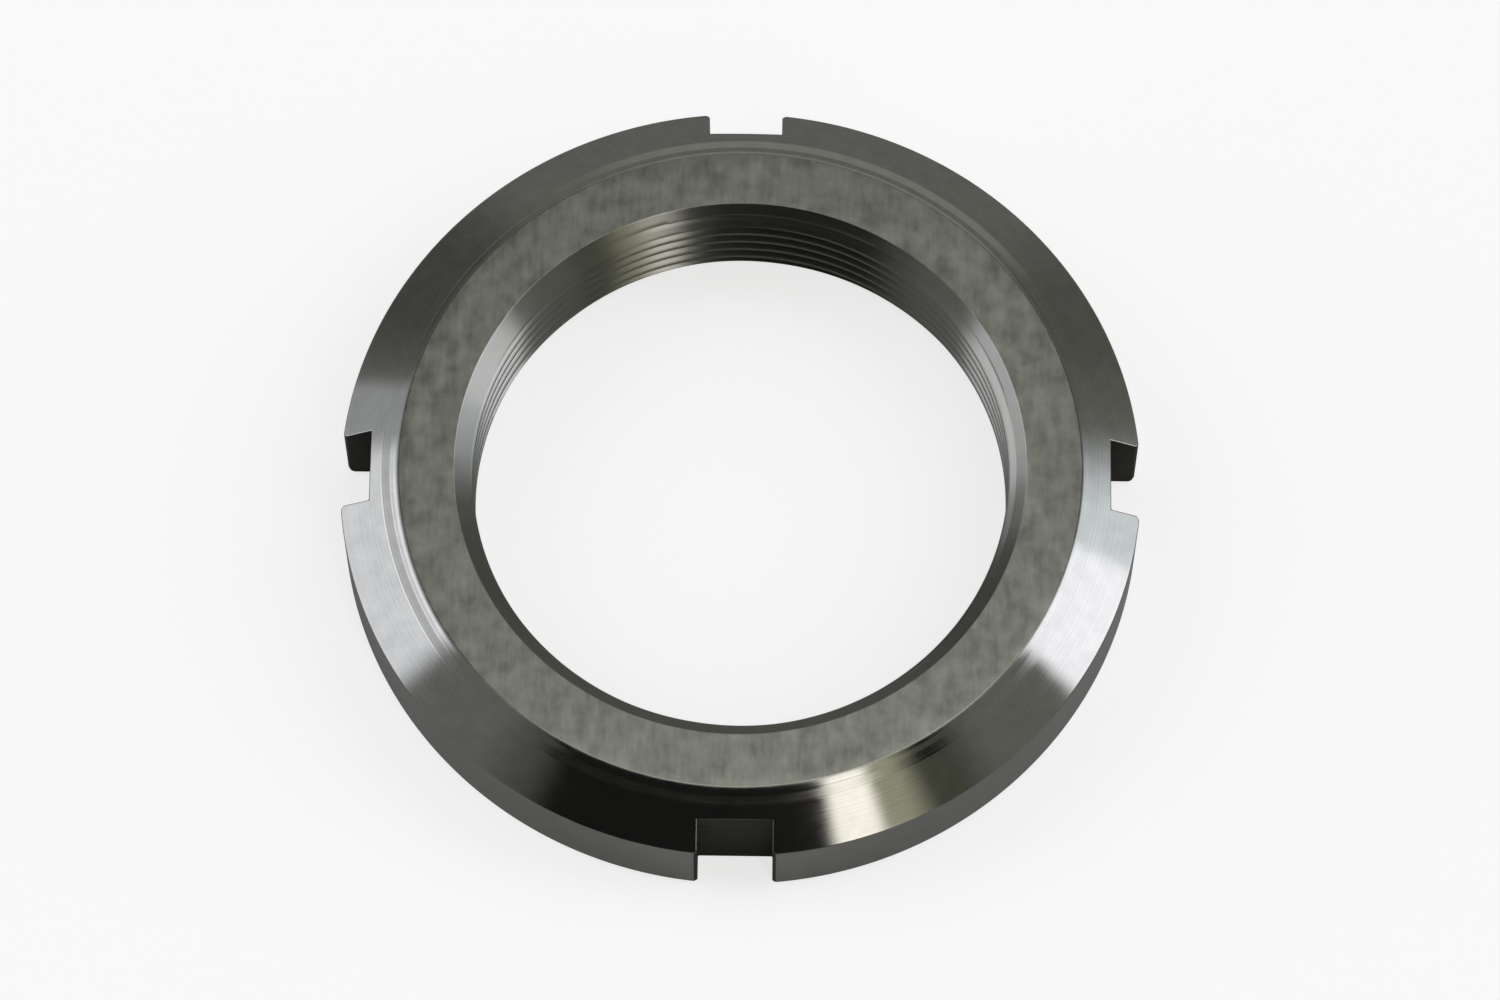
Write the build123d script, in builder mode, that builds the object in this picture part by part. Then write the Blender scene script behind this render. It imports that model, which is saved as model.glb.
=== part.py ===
from build123d import *
import os
from math import cos, hypot, radians, sin, tan

os.makedirs("parts", exist_ok=True)

# Overall size, in millimetres. Angles are in degrees.
outer_diameter = 65.0
width = 10.0

# Metric fine thread. The bore is plain here, at the thread's minor diameter.
thread_diameter = 45.0
thread_pitch = 1.5
minor_diameter_factor = 1.0825

# Countersinks that lead the shaft's thread in from either end. They open out past the thread's roots.
bore_mouth_margin = 0.65
bore_mouth_angle = 45.0

# Locating face: raised, and measured to the corner that it had before its edge was rounded. The rounding turns down
# through the edge angle, to a narrow sloping land.
face_diameter = 56.0
face_edge_radius = 1.0
face_edge_angle = 45.0
land_width = 0.8
land_angle = 14.0

# The wide chamfer from the land down to the rim, and the edge break of the back face.
rim_chamfer_angle = 32.0
back_edge_break = 0.5

# Slots for a hook spanner, milled through the rim along the axis.
slot_count = 4
slot_width = 6.0
slot_depth = 2.5
slot_edge_break = 0.25

# Half section, as distances from the axis and heights above the back face.
outer_radius = outer_diameter / 2
bore_radius = (thread_diameter - minor_diameter_factor * thread_pitch) / 2
bore_mouth_radius = thread_diameter / 2 + bore_mouth_margin
bore_mouth_depth = (bore_mouth_radius - bore_radius) * tan(radians(bore_mouth_angle))

flat_radius = face_diameter / 2 - face_edge_radius * tan(radians(face_edge_angle / 2))
land_inner_radius = flat_radius + face_edge_radius * sin(radians(face_edge_angle))
land_inner_height = width - face_edge_radius * (1 - cos(radians(face_edge_angle)))
land_outer_radius = land_inner_radius + land_width
land_outer_height = land_inner_height - land_width * tan(radians(land_angle))
rim_chamfer_run = outer_radius - land_outer_radius
rim_height = land_outer_height - rim_chamfer_run * tan(radians(rim_chamfer_angle))

slot_floor_radius = outer_radius - slot_depth


def distance_from_axis(edge):
    """Distance from the nut's axis to the middle of an edge."""
    middle = edge.center()
    return hypot(middle.X, middle.Y)


# The nut lies on its back face, with the locating face up. Z is its axis and its base is at Z = 0.
with BuildPart() as lock_nut:
    # One turned ring: half of the section, drawn beside the axis and swept through a full turn.
    with BuildSketch(Plane.XZ):
        with BuildLine():
            face_edge = JernArc(
                start=(flat_radius, width),
                tangent=(1, 0),
                radius=face_edge_radius,
                arc_size=-face_edge_angle,
            )
            Polyline(
                face_edge @ 1,
                (land_outer_radius, land_outer_height),
                (outer_radius, rim_height),
                (outer_radius, back_edge_break),
                (outer_radius - back_edge_break, 0),
                (bore_mouth_radius, 0),
                (bore_radius, bore_mouth_depth),
                (bore_radius, width - bore_mouth_depth),
                (bore_mouth_radius, width),
                face_edge @ 0,
            )
        make_face()
    revolve(axis=Axis.Z)

    # Slots with a flat floor, cut through the rim from face to face.
    with BuildSketch(Plane.XY):
        with PolarLocations(slot_floor_radius, slot_count):
            Rectangle(2 * slot_depth, slot_width, align=(Align.MIN, Align.CENTER))
    extrude(amount=width, mode=Mode.SUBTRACT)

    # Deburred mouths: the upright edges where the slot walls leave the rim.
    mouth_edges = lock_nut.edges().filter_by(Axis.Z).group_by(distance_from_axis)[-1]
    chamfer(mouth_edges, length=slot_edge_break)

lock_nut.part.label = "lock_nut"
export_step(lock_nut.part, "parts/lock_nut.step")
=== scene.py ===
import bmesh
import bpy
from collections import namedtuple
from math import atan2, ceil, cos, hypot, pi, radians, sin, sqrt, tan
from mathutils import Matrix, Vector


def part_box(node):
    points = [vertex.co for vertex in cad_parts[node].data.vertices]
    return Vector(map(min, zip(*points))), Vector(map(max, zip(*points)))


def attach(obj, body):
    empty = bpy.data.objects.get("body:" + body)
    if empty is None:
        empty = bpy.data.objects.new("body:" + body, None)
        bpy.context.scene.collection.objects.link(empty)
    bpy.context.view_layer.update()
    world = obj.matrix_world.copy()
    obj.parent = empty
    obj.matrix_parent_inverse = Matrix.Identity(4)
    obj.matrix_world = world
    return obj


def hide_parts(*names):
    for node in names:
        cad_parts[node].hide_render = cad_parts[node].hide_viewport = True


bl_info = {
    "name": "Slotted lock nut",
    "version": (1, 0, 0),
    "blender": (4, 5, 0),
    "location": "3D View > Sidebar > Lock nut",
    "description": "Makes a slotted shaft nut, its steel finishes and a studio around it",
    "category": "Object",
}

MM = 0.001
NODE = "lock_nut"

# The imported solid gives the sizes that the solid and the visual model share.
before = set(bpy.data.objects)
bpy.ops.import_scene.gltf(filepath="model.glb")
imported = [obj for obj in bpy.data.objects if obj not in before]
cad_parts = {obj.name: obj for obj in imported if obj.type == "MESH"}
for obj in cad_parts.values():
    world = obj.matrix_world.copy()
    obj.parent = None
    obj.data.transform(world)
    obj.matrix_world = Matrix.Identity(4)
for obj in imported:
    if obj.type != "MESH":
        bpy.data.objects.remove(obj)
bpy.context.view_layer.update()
LOW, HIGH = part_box(NODE)
SOLID_RADII = [hypot(v.co.x, v.co.y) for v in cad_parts[NODE].data.vertices]
OUTER_RADIUS = max(SOLID_RADII)
BORE_RADIUS = min(SOLID_RADII)


def linear(code):
    """An sRGB hex colour such as "#8A8C87", as the linear values that Blender works with."""
    channels = (int(code[i : i + 2], 16) / 255 for i in (1, 3, 5))
    return tuple(c / 12.92 if c <= 0.04045 else ((c + 0.055) / 1.055) ** 2.4 for c in channels)


def length(name, description, default):
    """A property that holds a length."""
    return bpy.props.FloatProperty(
        name=name,
        description=description,
        default=default,
        min=0.0,
        subtype="DISTANCE",
        unit="LENGTH",
        precision=5,
    )


def slope(name, description, default):
    """A property that holds an angle. Its default is written in degrees."""
    return bpy.props.FloatProperty(
        name=name,
        description=description,
        default=radians(default),
        subtype="ANGLE",
        unit="ROTATION",
    )


def colour(name, description, code):
    """A property that holds a colour. Its default is written as an sRGB hex value."""
    return bpy.props.FloatVectorProperty(
        name=name,
        description=description,
        default=linear(code),
        size=3,
        min=0.0,
        max=1.0,
        subtype="COLOR",
    )


def share(name, description, default):
    """A property that holds a share, from nought to one."""
    return bpy.props.FloatProperty(
        name=name,
        description=description,
        default=default,
        min=0.0,
        max=1.0,
        subtype="FACTOR",
    )


class NutSizes(bpy.types.PropertyGroup):
    """The turned, threaded and milled shape."""

    thread_diameter: length("Thread diameter", "Nominal diameter of the shaft's thread", 45.0 * MM)
    thread_pitch: length("Thread pitch", "How far the thread climbs in one turn", 1.5 * MM)
    mouth_margin: length("Bore mouth margin", "Opening of a countersink past the thread's roots", 0.65 * MM)
    mouth_angle: slope("Bore mouth angle", "Slope of the countersinks, from the face", 45.0)
    face_diameter: length("Face diameter", "Locating face, to its corner before rounding", 56.0 * MM)
    face_edge_radius: length("Face edge radius", "Radius of the locating face's rounded edge", 1.0 * MM)
    face_edge_angle: slope("Face edge angle", "Angle through which the rounded edge turns down", 45.0)
    land_width: length("Land width", "Radial width of the narrow land outside the rounded edge", 0.8 * MM)
    land_angle: slope("Land angle", "Slope of the narrow land", 14.0)
    chamfer_angle: slope("Chamfer angle", "Slope of the wide chamfer, from the face", 32.0)
    back_edge_break: length("Back edge break", "Size of the chamfer round the back face", 0.5 * MM)
    slot_width: length("Slot width", "Width of each spanner slot", 6.0 * MM)
    slot_depth: length("Slot depth", "Depth of each spanner slot below the rim", 2.5 * MM)
    slot_edge_break: length("Slot edge break", "Chamfer where a slot's walls leave the rim", 0.25 * MM)
    edge_rounding: length("Edge rounding", "Width of the rounding that deburring leaves", 0.10 * MM)


class SteelFinish(bpy.types.PropertyGroup):
    """Colours, roughness and tool marks of the bare steel."""

    ground_colour: colour("Ground steel", "Colour of the ground locating face", "#A9A9A2")
    turned_colour: colour("Turned steel", "Colour of the turned chamfer, rim and back", "#ABABA6")
    # The milled colour is darker than the other steels as painted shade of the slots.
    milled_colour_and_painted_shade: colour("Milled steel", "Colour of the milled slots", "#505049")
    threaded_colour: colour("Threaded steel", "Colour of the thread and its countersinks", "#9C9C95")
    ground_roughness: share("Ground roughness", "Roughness of the locating face", 0.29)
    turned_roughness: share("Turned roughness", "Roughness of the turned surfaces", 0.13)
    milled_roughness: share("Milled roughness", "Roughness of the slots", 0.5)
    threaded_roughness: share("Threaded roughness", "Roughness of the thread and its countersinks", 0.29)
    turning_pull: share("Turning pull", "How far the tool marks stretch a highlight across them", 0.95)
    grinding_grain: length("Grinding grain", "Width of a mottled streak on the ground face", 0.35 * MM)
    turning_feed: length("Turning feed", "Distance between two tool marks on a turned surface", 0.16 * MM)
    milling_feed: length("Milling feed", "Distance between two tool marks in a slot", 0.30 * MM)


class Studio(bpy.types.PropertyGroup):
    """The floor, its background and the camera."""

    floor_radius: length("Floor radius", "Radius of the floor", 3000.0 * MM)
    floor_colour: colour("Floor colour", "Colour of the painted board under the nut", "#A8A8A6")
    floor_glow: share("Floor glow", "White that the camera sees on the floor besides the light on it", 0.74)
    mirrored_glow: share("Mirrored glow", "Share of that white which the steel mirrors", 0.06)
    background_colour: colour("Background colour", "Colour of the background behind the floor", "#F8F8F7")
    view_azimuth: slope("View azimuth", "Direction of the camera round the nut, from straight in front", 0.8)
    view_elevation: slope("View elevation", "Height of the camera above the floor, as an angle", 68.0)
    view_distance: length("View distance", "From the camera to the point that it looks at", 557.0 * MM)
    view_width: length("View width", "Width of the picture at the aim", 121.9 * MM)
    aim: bpy.props.FloatVectorProperty(
        name="Aim",
        description="The point that the camera looks at",
        default=(0.79 * MM, -1.46 * MM, 6.0 * MM),
        subtype="TRANSLATION",
        unit="LENGTH",
        precision=5,
    )


# A soft-edged patch of the studio's light, placed by the way a surface has to face to mirror it to the
# camera, in degrees. A facing of 0 is the right, 90 the far side and -90 the camera's side, and a slope of 0
# is level and 90 upright. Each of the two has a middle, half a width, and how far its edge fades to either
# side. A strength of 1 is white. Where cards overlap, the one further down the list covers the others.
Card = namedtuple("Card", "facing half_facing facing_edge slope half_slope slope_edge strength colour")

# The strength and colour of the room round the cards.
ROOM = (0.24, "#F7FAF1")
CARDS = {
    "ceiling": Card(0, 180, 1, 0, 7, 3, 0.165, "#F9FBF1"),
    "dark ceiling on the left": Card(180, 50, 20, 3.2, 2.2, 1.2, 0.0, "#F9FBF1"),
    "dark ceiling on the right": Card(-5, 40, 20, 3.2, 2.2, 1.2, 0.0, "#F9FBF1"),
    "far wall, near the ceiling": Card(72, 42, 16, 13, 6, 4, 0.42, "#F9FAF2"),
    "dim far left corner": Card(147, 14, 8, 50, 40, 4, 0.12, "#F6F8EE"),
    "dim far right corner": Card(28, 12, 8, 50, 40, 4, 0.17, "#F6F8EE"),
    "right window": Card(-13, 14, 8.5, 49.5, 39.5, 3, 1.55, "#F0F6FF"),
    "right window, brightest part": Card(-23.5, 10.1, 1.6, 27, 18, 4, 2.35, "#F5F5FF"),
    "left window": Card(-170, 24, 2, 50, 41, 4, 0.65, "#F3F5FC"),
    "left window, brightest part": Card(-163.8, 19.2, 3, 50, 34, 3, 1.53, "#F3F5FF"),
    "left window, along its top": Card(-162, 16, 4, 24, 5, 3, 2.1, "#F5F5FA"),
    "grey wall beside the left window": Card(-134, 12, 3, 50, 44, 3, 0.26, "#F6F8F4"),
    "dim corner beside the grey wall": Card(-124, 4, 5, 50, 44, 3, 0.15, "#F6F8F4"),
    "dim gap beside the lamp": Card(-57, 5, 4, 48, 42, 4, 0.12, "#F4F6DC"),
    "ceiling over the camera": Card(-80, 50, 18, 3.2, 2.2, 1.2, 1.65, "#F9FBF1"),
    "dark shade behind the camera": Card(-88, 34, 3, 14, 8.5, 2, 0.004, "#F0F0F4"),
    "dark front wall": Card(-95.5, 25.5, 4, 48, 38, 4, 0.018, "#F4F4F4"),
    "glow beside the lamp": Card(-66.5, 4.5, 2.5, 28, 22, 6, 0.64, "#F6F4D6"),
    "warm lamp": Card(-72, 3.6, 1.2, 24, 18, 6, 2.35, "#FFFBF5"),
}

# The spanner slots, evenly spaced round the nut.
SLOT_COUNT = 4
SLOT_STEP = 2 * pi / SLOT_COUNT

# How finely the meshes are divided: columns across each slot and between slots, rows across each surface,
# and sides round the floor.
SLOT_COLUMNS = 12
RIM_COLUMNS = 84
RIM_ROWS = 6
WALL_ROWS = 3
MOUTH_ROWS = 3
FACE_ROWS = 5
FACE_EDGE_ROWS = 6
RING_ROWS = 4
FLOOR_SIDES = 128

# Patches of the mesh share their borders within this distance, and bends over this angle shade as edges.
WELD = 0.0002 * MM
SHARP = radians(30)

# Edges that bend more than this are rounded, and those of the bore's mouths by a share of the full rounding.
ROUNDED_BEND = radians(15)
MOUTH_ROUNDING = 0.6
ROUNDING_STEPS = 2

# A metric thread's section, in shares of its pitch: half of the flat crest, and the flank beside it.
# The flank's corners are rounded, over shares of its own width.
HALF_CREST = 1 / 8
FLANK = 5 / 16
CREST_ROUNDING = 0.4
ROOT_ROUNDING = 0.15

# Points of the thread that come closer than this share of a pitch to its end are laid on the end.
THREAD_SNAP = 0.02

# The size of the faint blotches that oil and handling leave on the steel.
BLOTCH = 1.4 * MM

# Marks and blotches added together, two noises from 0 to 1, stay mostly between these values.
MARKS_LOW = 0.7
MARKS_HIGH = 1.3

# The two kinds of streak on the ground face: width and length in grains, and the detail of the noise.
GRINDING_STREAKS = ((1.0, 6.0, 1.0), (3.5, 9.0, 2.0))

# How long a milling scratch is, in feeds.
MILLING_LENGTH = 8

# How far the floor lies under the nut, so that the two never share a surface.
FLOOR_GAP = 0.01 * MM

# The sockets of a mix node share their names, so the ones for colours are picked by number.
MIX_UNDER, MIX_OVER, MIX_RESULT = 6, 7, 2

# The mesh's material slots.
GROUND, TURNED, MILLED, THREADED = range(4)


def even(low, high, count):
    """Evenly spaced numbers from low to high, both included, with count steps between them."""
    return [low + (high - low) * i / count for i in range(count + 1)]


def lathe_point(radius, turn, height):
    """A point at a radius, turned round the nut's axis."""
    return Vector((radius * cos(turn), radius * sin(turn), height))


def rings(section, turns):
    """Rows of points once round the axis, one for each radius and height of a section."""
    return [[lathe_point(radius, turn, height) for turn in turns] for radius, height in section]


def add_patch(bm, rows, finish):
    """Fill a grid of points, given row by row, with four-sided faces of one finish."""
    grid = [[bm.verts.new(point) for point in row] for row in rows]
    for lower, upper in zip(grid, grid[1:]):
        for i in range(len(lower) - 1):
            bm.faces.new((lower[i], lower[i + 1], upper[i + 1], upper[i])).material_index = finish


class NutShape:
    """Radii and heights of the nut, worked out from its driving sizes, and where its surfaces meet."""

    def __init__(self, sizes):
        self.sizes = sizes
        self.back, self.top = LOW.z, HIGH.z
        self.root_radius = sizes.thread_diameter / 2
        self.mouth_radius = self.root_radius + sizes.mouth_margin
        self.mouth_slope = tan(sizes.mouth_angle)
        root_depth = sizes.mouth_margin * self.mouth_slope
        self.thread_low, self.thread_high = self.back + root_depth, self.top - root_depth
        self.flat_radius = sizes.face_diameter / 2 - sizes.face_edge_radius * tan(sizes.face_edge_angle / 2)
        land_inner = self.face_edge(sizes.face_edge_angle)
        self.land_outer_radius = land_inner[0] + sizes.land_width
        self.land_outer_height = land_inner[1] - sizes.land_width * tan(sizes.land_angle)
        self.floor_distance = OUTER_RADIUS - sizes.slot_depth
        self.half_slot = sizes.slot_width / 2
        self.slot_turn = atan2(self.half_slot, self.floor_distance)
        self.slot_turns = even(-self.slot_turn, self.slot_turn, SLOT_COLUMNS)

    def face_edge(self, angle):
        """Radius and height on the locating face's rounded edge, where it has turned down by an angle."""
        radius = self.sizes.face_edge_radius
        return self.flat_radius + radius * sin(angle), self.top - radius * (1 - cos(angle))

    def chamfer_height(self, radius):
        """Height of the wide chamfer at a radius."""
        return self.land_outer_height - (radius - self.land_outer_radius) * tan(self.sizes.chamfer_angle)

    def back_height(self, radius):
        """Height of the back face at a radius, and of the broken edge round it."""
        return self.back + max(0.0, radius - OUTER_RADIUS + self.sizes.back_edge_break)

    def wall_plan(self):
        """Plan points along one wall of a slot, from its floor to its broken edge on the rim."""
        wall_end = sqrt(OUTER_RADIUS**2 - self.half_slot**2) - self.sizes.slot_edge_break
        back_edge = sqrt((OUTER_RADIUS - self.sizes.back_edge_break) ** 2 - self.half_slot**2)
        rim_turn = atan2(self.half_slot, wall_end) + self.sizes.slot_edge_break / OUTER_RADIUS
        plan = [(x, self.half_slot) for x in (*even(self.floor_distance, back_edge, WALL_ROWS), wall_end)]
        return plan + [(OUTER_RADIUS * cos(rim_turn), OUTER_RADIUS * sin(rim_turn))]

    def floor_line(self, turn):
        """Radius where the inner rings end: at a slot's floor, and between slots level with its corners."""
        return self.floor_distance / cos(min(abs(turn), self.slot_turn))

    def columns(self):
        """Two angles for every column, once round and closed: from the nearest slot, and from the first one.

        Between slots, the first of them stays at the slot's corner."""
        slot = [(turn, turn) for turn in self.slot_turns[:-1]]
        between = even(self.slot_turn, SLOT_STEP - self.slot_turn, RIM_COLUMNS)
        rim = [(self.slot_turn, turn) for turn in between[:-1]]
        around = [(near, turn + i * SLOT_STEP) for i in range(SLOT_COUNT) for near, turn in slot + rim]
        first_near, first_turn = around[0]
        return [*around, (first_near, first_turn + 2 * pi)]


def thread_depth(phase):
    """Depth of the thread's groove, from 0 at its crest to 1 at its root.

    The phase is the distance from the middle of the crest, as a share of a pitch."""
    along = (abs(phase) - HALF_CREST) / FLANK
    if along < CREST_ROUNDING:
        return max(0.0, along + CREST_ROUNDING) ** 2 / (4 * CREST_ROUNDING)
    if along > 1 - ROOT_ROUNDING:
        return 1 - max(0.0, 1 + ROOT_ROUNDING - along) ** 2 / (4 * ROOT_ROUNDING)
    return along


def thread_phases():
    """The phases at which the thread's mesh has a row, in one turn: closest where a corner is rounded."""
    crest = (-CREST_ROUNDING, -CREST_ROUNDING / 2, 0.0, CREST_ROUNDING / 2, CREST_ROUNDING)
    middle = 0.6
    root = (1 - ROOT_ROUNDING, 1.0, 1 + ROOT_ROUNDING)
    flank = [HALF_CREST + FLANK * along for along in (*crest, middle, *root)]
    return [-0.5, *(-phase for phase in reversed(flank)), 0.0, *flank]


def thread_point(shape, number, phase, turn):
    """A point of the thread, by the number of its groove. The countersinks cut it off near either end."""
    pitch = shape.sizes.thread_pitch
    height = shape.thread_low + (number + phase + turn / (2 * pi)) * pitch
    if height < shape.thread_low + THREAD_SNAP * pitch:
        return lathe_point(shape.root_radius, turn, shape.thread_low)
    if height > shape.thread_high - THREAD_SNAP * pitch:
        return lathe_point(shape.root_radius, turn, shape.thread_high)
    from_end = min(height - shape.thread_low, shape.thread_high - height)
    mouth = shape.root_radius - from_end / shape.mouth_slope
    groove = BORE_RADIUS + thread_depth(phase) * (shape.root_radius - BORE_RADIUS)
    return lathe_point(max(groove, mouth), turn, height)


def add_bore(bm, shape, turns):
    """The threaded bore: a right-hand thread whose ends run out in the two countersinks."""
    groove_count = ceil((shape.thread_high - shape.thread_low) / shape.sizes.thread_pitch)
    add_patch(bm, [
        [thread_point(shape, number, phase, turn) for turn in turns]
        for number in range(-1, groove_count + 1)
        for phase in thread_phases()
    ], THREADED)
    for edge, end in ((shape.back, shape.thread_low), (shape.top, shape.thread_high)):
        mouth = zip(even(shape.mouth_radius, shape.root_radius, MOUTH_ROWS), even(edge, end, MOUTH_ROWS))
        add_patch(bm, rings(mouth, turns), THREADED)


def add_rings(bm, shape, columns):
    """The whole rings inside the slots' floors, from the bore's mouth outwards, on top and on the back."""
    turns = [turn for near, turn in columns]
    face = [(radius, shape.top) for radius in even(shape.mouth_radius, shape.flat_radius, FACE_ROWS)]
    add_patch(bm, rings(face, turns), GROUND)
    shoulder = [shape.face_edge(angle) for angle in even(0.0, shape.sizes.face_edge_angle, FACE_EDGE_ROWS)]
    shoulder.append((shape.land_outer_radius, shape.land_outer_height))
    add_patch(bm, rings(shoulder, turns), TURNED)
    for inner, height in (
        (shape.land_outer_radius, shape.chamfer_height),
        (shape.mouth_radius, shape.back_height),
    ):
        rows = []
        for part in even(0.0, 1.0, RING_ROWS):
            radii = [inner + part * (shape.floor_line(near) - inner) for near, turn in columns]
            rows.append([lathe_point(r, turn, height(r)) for r, turn in zip(radii, turns)])
        add_patch(bm, rows, TURNED)


def add_rim(bm, shape, slot):
    """The rim and the faces above and below it, from one slot to the next."""
    start = slot * SLOT_STEP
    stations = [(hypot(x, y), atan2(y, x)) for x, y in shape.wall_plan()]

    def row(radius, turn, height):
        """Points at one radius and height, from a turn past this slot to the same turn before the next."""
        return [lathe_point(radius, start + t, height) for t in even(turn, SLOT_STEP - turn, RIM_COLUMNS)]

    for height in (shape.chamfer_height, shape.back_height):
        add_patch(bm, [row(radius, turn, height(radius)) for radius, turn in stations], TURNED)
    radius, turn = stations[-1]
    heights = even(shape.back_height(radius), shape.chamfer_height(radius), RIM_ROWS)
    add_patch(bm, [row(radius, turn, height) for height in heights], TURNED)


def add_slot(bm, shape, slot):
    """One milled slot: its flat floor and its two walls with their broken edges."""
    start = slot * SLOT_STEP

    def post(x, y):
        """The points from the back up to the wide chamfer at one place in plan."""
        radius, turn = hypot(x, y), start + atan2(y, x)
        heights = even(shape.back_height(radius), shape.chamfer_height(radius), RIM_ROWS)
        return [lathe_point(radius, turn, height) for height in heights]

    floor = [post(shape.floor_distance, shape.floor_distance * tan(turn)) for turn in shape.slot_turns]
    add_patch(bm, floor, MILLED)
    for side in (-1, 1):
        add_patch(bm, [post(x, side * y) for x, y in shape.wall_plan()], MILLED)


def weigh_edges(bm, shape):
    """Give the outer edges the full tiny rounding, the bore's mouths less, and the thread none."""
    weight = bm.edges.layers.float.new("bevel_weight_edge")
    for edge in bm.edges:
        inner = min(hypot(v.co.x, v.co.y) for v in edge.verts)
        if edge.calc_face_angle(0.0) > ROUNDED_BEND and inner > shape.mouth_radius - WELD:
            edge[weight] = 1.0 if inner > shape.mouth_radius + WELD else MOUTH_ROUNDING


def node(tree, kind, inputs=(), **settings):
    """Add a node with its settings, and give its inputs values or links."""
    new = tree.nodes.new(kind)
    for name, value in settings.items():
        setattr(new, name, value)
    for name, value in dict(inputs).items():
        if isinstance(value, bpy.types.NodeSocket):
            tree.links.new(value, new.inputs[name])
        else:
            new.inputs[name].default_value = value
    return new


def new_material(name):
    """An empty material, with its node tree and its output."""
    material = bpy.data.materials.new(name)
    material.use_nodes = True
    tree = material.node_tree
    tree.nodes.clear()
    return material, tree, node(tree, "ShaderNodeOutputMaterial")


def steel(name, base, roughness, pull, marks, marks_height, roughness_swing, colour_swing):
    """A bare steel. The function given makes its marks, a pattern from 0 to 1 that varies its height.

    Together with faint blotches, the marks also vary its roughness and colour, by the two swings."""
    material, tree, output = new_material(name)
    pattern = marks(tree)
    blotches = node(tree, "ShaderNodeTexNoise", {
        "Vector": node(tree, "ShaderNodeTexCoord").outputs["Object"], "Scale": 1 / BLOTCH, "Detail": 3.0,
    }).outputs["Fac"]
    both = node(tree, "ShaderNodeMath", {0: pattern, 1: blotches}, operation="ADD").outputs[0]
    gloss = node(tree, "ShaderNodeMapRange", {
        "Value": both, "From Min": MARKS_LOW, "From Max": MARKS_HIGH,
        "To Min": roughness - roughness_swing, "To Max": roughness + roughness_swing,
    })
    tint = node(tree, "ShaderNodeMapRange", {
        "Value": both, "From Min": MARKS_LOW, "From Max": MARKS_HIGH,
        "To Min": 1 - colour_swing, "To Max": 1 + colour_swing,
    })
    shade = node(tree, "ShaderNodeVectorMath", {0: base, "Scale": tint.outputs[0]}, operation="SCALE")
    bump = node(tree, "ShaderNodeBump", {"Height": pattern, "Distance": marks_height, "Strength": 1.0})
    # Turned marks run round the axis, so a pull draws a highlight out across them, a quarter turn away.
    tangent = node(tree, "ShaderNodeTangent", direction_type="RADIAL", axis="Z")
    surface = node(tree, "ShaderNodeBsdfPrincipled", {
        "Base Color": shade.outputs[0], "Metallic": 1.0, "Roughness": gloss.outputs[0],
        "Anisotropic": pull, "Anisotropic Rotation": 0.25, "Tangent": tangent.outputs[0],
        "Normal": bump.outputs[0],
    })
    tree.links.new(surface.outputs[0], output.inputs["Surface"])
    return material


def grinding_marks(grain):
    """Mottled streaks of uneven length, all in the direction in which the grinding wheel passed."""

    def marks(tree):
        place = node(tree, "ShaderNodeTexCoord").outputs["Object"]
        layers = []
        for wide, long, detail in GRINDING_STREAKS:
            stretched = node(tree, "ShaderNodeMapping", {
                "Vector": place, "Scale": (1 / (wide * grain), 1 / (long * grain), 1 / grain),
            }, vector_type="POINT")
            layers.append(node(tree, "ShaderNodeTexNoise", {
                "Vector": stretched.outputs[0], "Scale": 1.0, "Detail": detail, "Roughness": 0.5,
            }).outputs["Fac"])
        return node(tree, "ShaderNodeMix", {"Factor": 0.6, "A": layers[0], "B": layers[1]}).outputs["Result"]

    return marks


def turning_marks(feed):
    """Fine grooves round the axis, about a feed apart along the section.

    The countersink on top has none, because there the radius and the height grow together."""

    def marks(tree):
        place = node(tree, "ShaderNodeTexCoord").outputs["Object"]
        axes = node(tree, "ShaderNodeSeparateXYZ", {0: place})
        flat = node(tree, "ShaderNodeCombineXYZ", {"X": axes.outputs["X"], "Y": axes.outputs["Y"]})
        radius = node(tree, "ShaderNodeVectorMath", {0: flat.outputs[0]}, operation="LENGTH")
        along = node(tree, "ShaderNodeMath", {
            0: radius.outputs["Value"], 1: axes.outputs["Z"],
        }, operation="SUBTRACT")
        grooves = node(tree, "ShaderNodeMath", {0: along.outputs[0], 1: feed}, operation="DIVIDE")
        return node(tree, "ShaderNodeTexNoise", {
            "W": grooves.outputs[0], "Scale": 1.0, "Detail": 1.0, "Roughness": 0.5,
        }, noise_dimensions="1D").outputs["Fac"]

    return marks


def milling_marks(feed):
    """Coarse scratches across a slot, a feed apart along the nut's axis."""

    def marks(tree):
        place = node(tree, "ShaderNodeTexCoord").outputs["Object"]
        stretched = node(tree, "ShaderNodeMapping", {
            "Vector": place, "Scale": (1 / (MILLING_LENGTH * feed), 1 / (MILLING_LENGTH * feed), 1 / feed),
        }, vector_type="POINT")
        return node(tree, "ShaderNodeTexNoise", {
            "Vector": stretched.outputs[0], "Scale": 1.0, "Detail": 2.0, "Roughness": 0.6,
        }).outputs["Fac"]

    return marks


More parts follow.
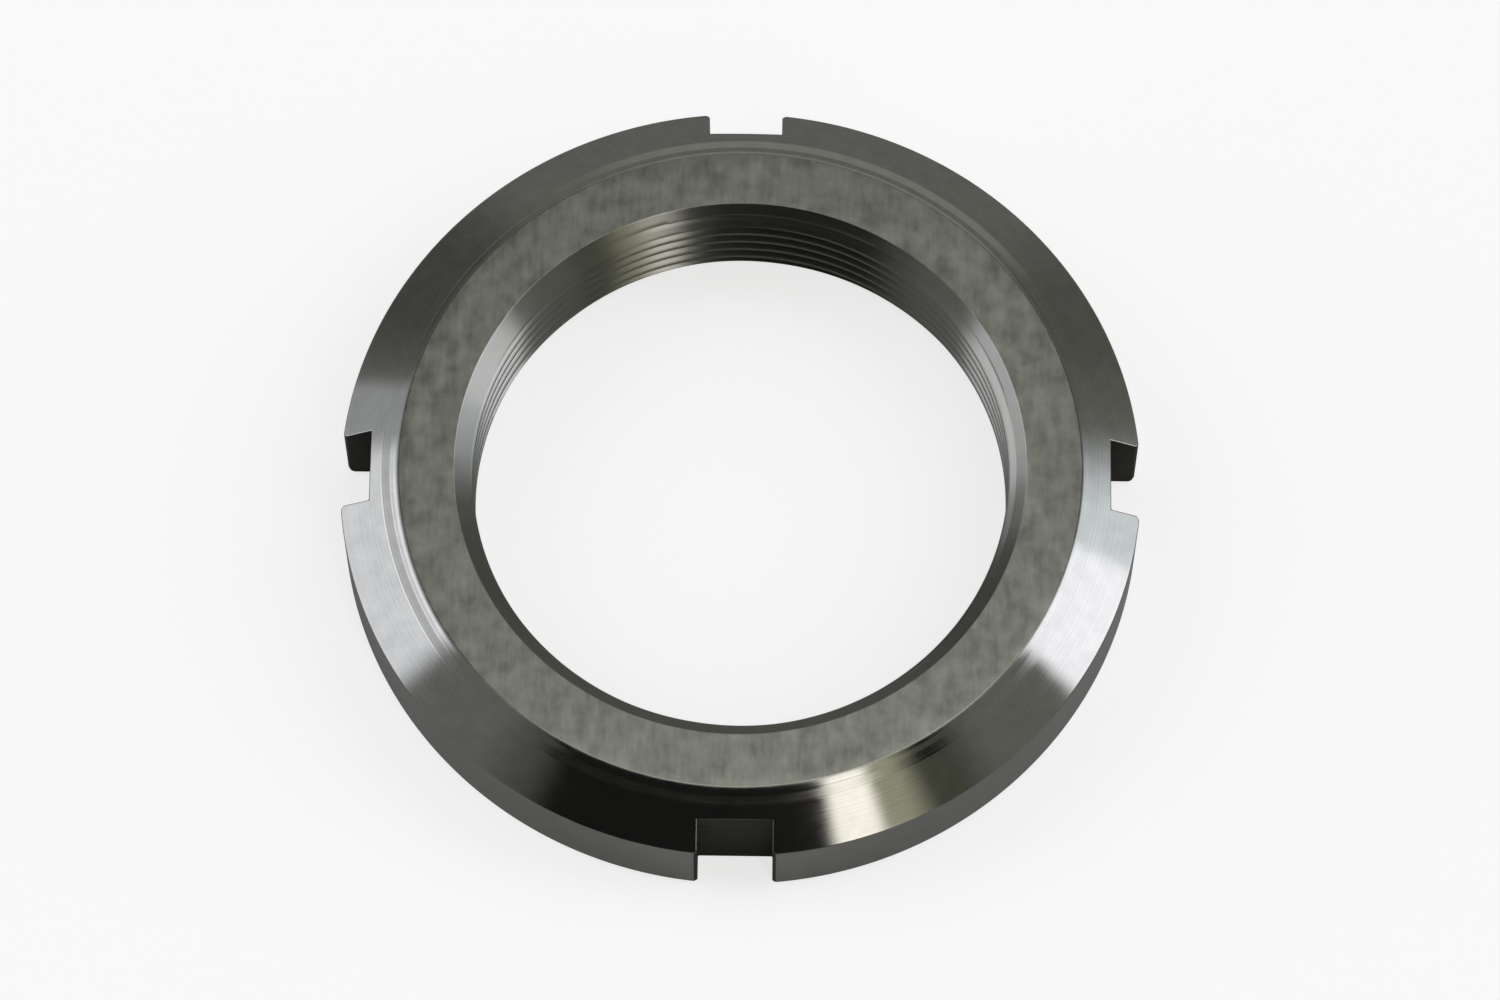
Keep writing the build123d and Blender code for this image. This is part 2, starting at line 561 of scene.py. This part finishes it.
def nut_materials(finish):
    """The four steel finishes, in the order of the mesh's material slots."""
    return (
        # Surface-ground carbon steel. A dull grey with short mottled streaks, all in one direction. The real
        # scratches are too fine to show, so each streak stands for a bundle of them.
        steel(
            "ground_steel", finish.ground_colour, finish.ground_roughness,
            pull=0.0, marks=grinding_marks(finish.grinding_grain),
            marks_height=0.001 * MM, roughness_swing=0.01, colour_swing=0.28,
        ),
        # Fine-turned carbon steel. Fine rings, and highlights drawn out across them into bright and dark
        # sectors. The real feed is about half as wide, and too fine to show.
        steel(
            "turned_steel", finish.turned_colour, finish.turned_roughness,
            pull=finish.turning_pull, marks=turning_marks(finish.turning_feed),
            marks_height=0.0012 * MM, roughness_swing=0.02, colour_swing=0.09,
        ),
        # Slot-milled carbon steel. Darker and duller than the rest, with coarse scratches. The darker colour
        # is painted shade of the deep slots, not the steel's own colour.
        steel(
            "milled_steel_and_painted_shade", finish.milled_colour_and_painted_shade, finish.milled_roughness,
            pull=0.0, marks=milling_marks(finish.milling_feed),
            marks_height=0.01 * MM, roughness_swing=0.08, colour_swing=0.10,
        ),
        # Thread-turned carbon steel. A little darker and softer in its shine than the turned outside, with
        # faint rings as close together as the real feed.
        steel(
            "threaded_steel", finish.threaded_colour, finish.threaded_roughness,
            pull=finish.turning_pull, marks=turning_marks(finish.turning_feed / 2),
            marks_height=0.001 * MM, roughness_swing=0.01, colour_swing=0.05,
        ),
    )


class MakeNut(bpy.types.Operator):
    """Build the threaded, slotted nut and give it its four steel finishes."""

    bl_idname = "lock_nut.make_nut"
    bl_label = "Lock nut"
    bl_options = {"REGISTER", "UNDO"}

    def execute(self, context):
        shape = NutShape(context.scene.lock_nut_sizes)
        columns = shape.columns()
        bm = bmesh.new()
        add_bore(bm, shape, [turn for near, turn in columns])
        add_rings(bm, shape, columns)
        for slot in range(SLOT_COUNT):
            add_rim(bm, shape, slot)
            add_slot(bm, shape, slot)
        bmesh.ops.remove_doubles(bm, verts=bm.verts, dist=WELD)
        bmesh.ops.recalc_face_normals(bm, faces=bm.faces)
        if any(not edge.is_manifold for edge in bm.edges):
            raise RuntimeError("The nut's surface isn't closed: its patches don't share their borders.")
        weigh_edges(bm, shape)
        for face in bm.faces:
            face.smooth = True
        mesh = bpy.data.meshes.new("slotted_lock_nut")
        bm.to_mesh(mesh)
        bm.free()
        mesh.set_sharp_from_angle(angle=SHARP)
        for material in nut_materials(context.scene.lock_nut_finish):
            mesh.materials.append(material)

        nut = bpy.data.objects.new("slotted_lock_nut", mesh)
        context.scene.collection.objects.link(nut)
        rounding = nut.modifiers.new("Edge rounding", "BEVEL")
        rounding.limit_method = "WEIGHT"
        rounding.width = shape.sizes.edge_rounding
        rounding.segments = ROUNDING_STEPS
        rounding.harden_normals = True
        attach(nut, "root")
        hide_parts(NODE)
        return {"FINISHED"}


def make_floor(context, studio):
    """A large round floor just under the nut."""
    # Matt white painted board. Even and pale, with the nut's own soft shadow on it.
    material, tree, output = new_material("painted_board")
    light_path = node(tree, "ShaderNodeLightPath")
    board = node(tree, "ShaderNodeBsdfDiffuse", {"Color": (*studio.floor_colour, 1)})
    # The camera sees the whole glow, and what the steel mirrors is dimmer.
    mirrored = node(tree, "ShaderNodeMath", {
        0: light_path.outputs["Is Glossy Ray"], 1: light_path.outputs["Is Transmission Ray"],
    }, operation="MAXIMUM")
    seen = node(tree, "ShaderNodeMath", {
        0: mirrored.outputs[0], 1: studio.mirrored_glow, 2: light_path.outputs["Is Camera Ray"],
    }, operation="MULTIPLY_ADD")
    strength = node(tree, "ShaderNodeMath", {0: seen.outputs[0], 1: studio.floor_glow}, operation="MULTIPLY")
    glow = node(tree, "ShaderNodeEmission", {"Strength": strength.outputs[0]})
    both = node(tree, "ShaderNodeAddShader", {0: board.outputs[0], 1: glow.outputs[0]})
    tree.links.new(both.outputs[0], output.inputs["Surface"])
    material.cycles.emission_sampling = "NONE"

    bm = bmesh.new()
    bmesh.ops.create_circle(bm, cap_ends=True, segments=FLOOR_SIDES, radius=studio.floor_radius)
    mesh = bpy.data.meshes.new("floor")
    bm.to_mesh(mesh)
    bm.free()
    mesh.materials.append(material)
    floor = bpy.data.objects.new("floor", mesh)
    floor.location.z = LOW.z - FLOOR_GAP
    context.scene.collection.objects.link(floor)


def card_mask(tree, facing, slope, card):
    """How far a direction lies inside a card: 1 within it, and falling softly to 0 at its edges."""
    turned = node(tree, "ShaderNodeMath", {0: facing, 1: card.facing}, operation="SUBTRACT")
    wrapped = node(tree, "ShaderNodeMath", {0: turned.outputs[0], 1: 180.0, 2: -180.0}, operation="WRAP")
    raised = node(tree, "ShaderNodeMath", {0: slope, 1: card.slope}, operation="SUBTRACT")
    sides = []
    for offset, half, edge in (
        (wrapped, card.half_facing, card.facing_edge), (raised, card.half_slope, card.slope_edge),
    ):
        distance = node(tree, "ShaderNodeMath", {0: offset.outputs[0]}, operation="ABSOLUTE")
        sides.append(node(tree, "ShaderNodeMapRange", {
            "Value": distance.outputs[0], "From Min": half + edge, "From Max": half - edge,
        }, interpolation_type="SMOOTHSTEP").outputs[0])
    return node(tree, "ShaderNodeMath", {0: sides[0], 1: sides[1]}, operation="MULTIPLY").outputs[0]


def towards_camera(studio):
    """The direction from the nut to the camera."""
    return Vector((
        sin(studio.view_azimuth) * cos(studio.view_elevation),
        -cos(studio.view_azimuth) * cos(studio.view_elevation),
        sin(studio.view_elevation),
    ))


def lit(strength, code):
    """A colour at a strength, as light."""
    return (*(strength * c for c in linear(code)), 1.0)


def make_light(context, studio):
    """The studio's soft light: a dim room with a window on either side, a lamp and a dark wall in front."""
    world = bpy.data.worlds.new("studio")
    context.scene.world = world
    world.use_nodes = True
    tree = world.node_tree
    tree.nodes.clear()
    # A surface mirrors light from a direction to the camera when it faces halfway between the two.
    direction = node(tree, "ShaderNodeTexCoord").outputs["Generated"]
    halfway = node(tree, "ShaderNodeVectorMath", {0: direction, 1: towards_camera(studio)}, operation="ADD")
    normal = node(tree, "ShaderNodeVectorMath", {0: halfway.outputs[0]}, operation="NORMALIZE")
    x, y, z = node(tree, "ShaderNodeSeparateXYZ", {0: normal.outputs[0]}).outputs
    turn = node(tree, "ShaderNodeMath", {0: y, 1: x}, operation="ARCTAN2")
    tilt = node(tree, "ShaderNodeMath", {0: z}, operation="ARCCOSINE")
    facing, slope_there = (
        node(tree, "ShaderNodeMath", {0: angle.outputs[0]}, operation="DEGREES").outputs[0]
        for angle in (turn, tilt)
    )
    light = lit(*ROOM)
    for card in CARDS.values():
        mask = card_mask(tree, facing, slope_there, card)
        over = lit(card.strength, card.colour)
        mixed = node(tree, "ShaderNodeMix", {0: mask, MIX_UNDER: light, MIX_OVER: over}, data_type="RGBA")
        light = mixed.outputs[MIX_RESULT]
    room = node(tree, "ShaderNodeBackground", {"Color": light, "Strength": 1.0})
    # Behind the floor the camera sees a plain pale background.
    background = node(tree, "ShaderNodeBackground", {
        "Color": (*studio.background_colour, 1), "Strength": 1.0,
    })
    light_path = node(tree, "ShaderNodeLightPath")
    world_light = node(tree, "ShaderNodeMixShader", {
        0: light_path.outputs["Is Camera Ray"], 1: room.outputs[0], 2: background.outputs[0],
    })
    output = node(tree, "ShaderNodeOutputWorld")
    tree.links.new(world_light.outputs[0], output.inputs["Surface"])


def make_camera(context, studio):
    """A long lens that looks down on the nut."""
    back = towards_camera(studio)
    data = bpy.data.cameras.new("camera")
    # A sensor and a lens are given in millimetres.
    data.sensor_width = 36.0
    data.lens = data.sensor_width * studio.view_distance / studio.view_width
    data.clip_start = 1 * MM
    camera = bpy.data.objects.new("camera", data)
    camera.location = Vector(studio.aim) + studio.view_distance * back
    camera.rotation_euler = back.to_track_quat("Z", "Y").to_euler()
    context.scene.collection.objects.link(camera)
    context.scene.camera = camera


class MakeStage(bpy.types.Operator):
    """Lay the pale floor, light the studio and place the camera."""

    bl_idname = "lock_nut.make_stage"
    bl_label = "Studio"
    bl_options = {"REGISTER", "UNDO"}

    def execute(self, context):
        studio = context.scene.lock_nut_studio
        context.scene.view_settings.view_transform = "Standard"
        make_floor(context, studio)
        make_light(context, studio)
        make_camera(context, studio)
        return {"FINISHED"}


class LockNutPanel(bpy.types.Panel):
    """Lists the nut's and the studio's settings, each with the button that makes it."""

    bl_idname = "VIEW3D_PT_lock_nut"
    bl_label = "Lock nut"
    bl_space_type = "VIEW_3D"
    bl_region_type = "UI"
    bl_category = "Lock nut"

    def draw(self, context):
        scene = context.scene
        for groups, operator in (
            ((scene.lock_nut_sizes, scene.lock_nut_finish), MakeNut),
            ((scene.lock_nut_studio,), MakeStage),
        ):
            box = self.layout.box()
            for group in groups:
                for name in type(group).__annotations__:
                    box.prop(group, name)
            box.operator(operator.bl_idname)


CLASSES = (NutSizes, SteelFinish, Studio, MakeNut, MakeStage, LockNutPanel)


def register():
    for cls in CLASSES:
        bpy.utils.register_class(cls)
    bpy.types.Scene.lock_nut_sizes = bpy.props.PointerProperty(type=NutSizes)
    bpy.types.Scene.lock_nut_finish = bpy.props.PointerProperty(type=SteelFinish)
    bpy.types.Scene.lock_nut_studio = bpy.props.PointerProperty(type=Studio)


def unregister():
    del bpy.types.Scene.lock_nut_studio
    del bpy.types.Scene.lock_nut_finish
    del bpy.types.Scene.lock_nut_sizes
    for cls in reversed(CLASSES):
        bpy.utils.unregister_class(cls)


def main():
    register()
    bpy.ops.lock_nut.make_nut()
    bpy.ops.lock_nut.make_stage()


if __name__ == "__main__":
    main()
